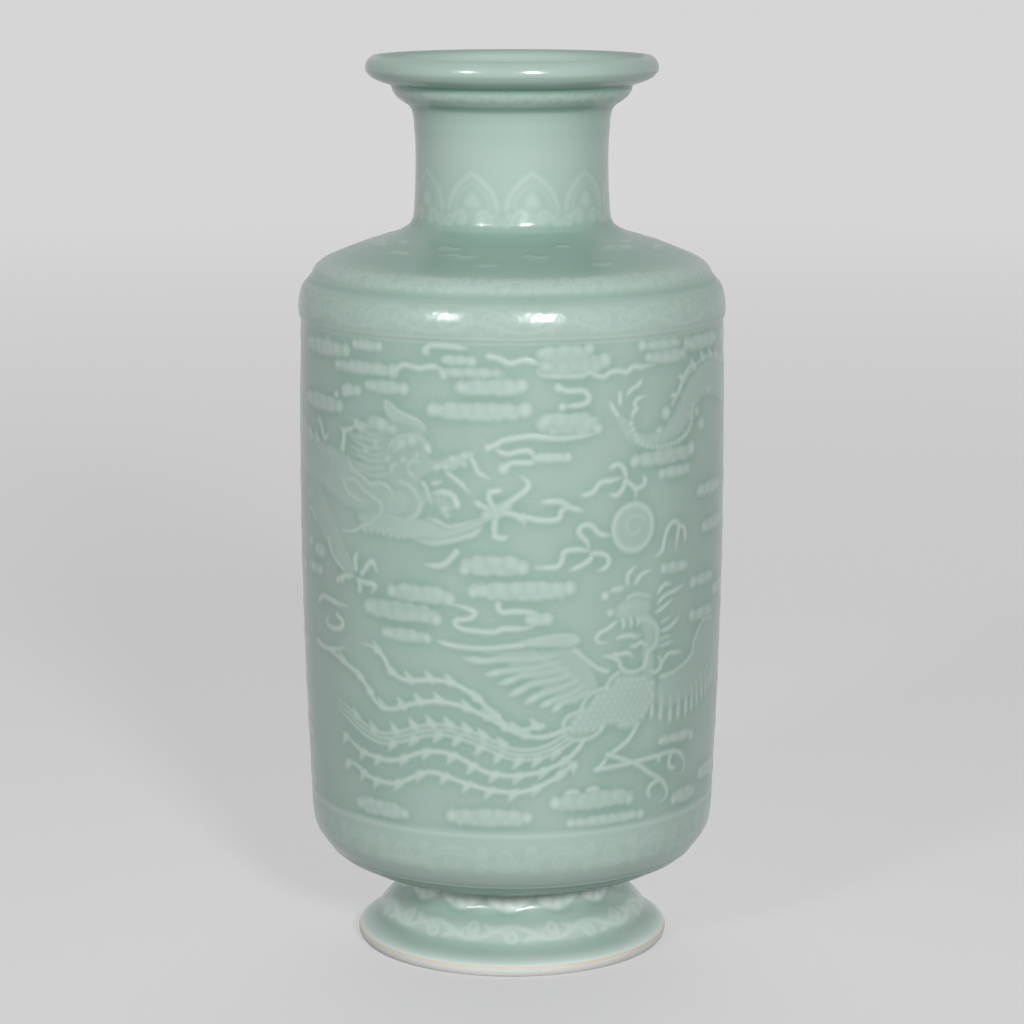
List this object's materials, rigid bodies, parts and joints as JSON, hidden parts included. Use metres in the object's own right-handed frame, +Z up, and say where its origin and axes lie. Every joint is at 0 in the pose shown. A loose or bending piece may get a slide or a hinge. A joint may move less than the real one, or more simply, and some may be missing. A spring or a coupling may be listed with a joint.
{
  "type": "lantern vase",
  "caption": "Free-standing lantern-shaped porcelain vase with a rolled mouth, short neck, banded shoulder, near-cylindrical body and flared pedestal foot, glazed celadon over a carved relief.",
  "frame": {"origin": "centre of the foot's resting ring, on the surface that the vase stands on", "axes": "+Z up the axis of the vase to its mouth; -Y faces the viewer of the picture"},
  "size_m": [0.1608, 0.1608, 0.3384],
  "materials": {
    "celadon_glaze": "glossy celadon glaze",
    "fired_slip": "matt fired porcelain slip"
  },
  "bodies": {
    "root": {"foot_ring": "celadon_glaze", "base_bowl": "celadon_glaze", "lower_body": "celadon_glaze", "upper_body": "celadon_glaze", "shoulder": "celadon_glaze", "neck": "celadon_glaze", "mouth_rim": "celadon_glaze", "lute_foot": "fired_slip", "lute_bowl": "fired_slip", "lute_waist": "fired_slip", "lute_shoulder": "fired_slip", "lute_neck": "fired_slip", "lute_mouth": "fired_slip"}
  },
  "joints": []
}
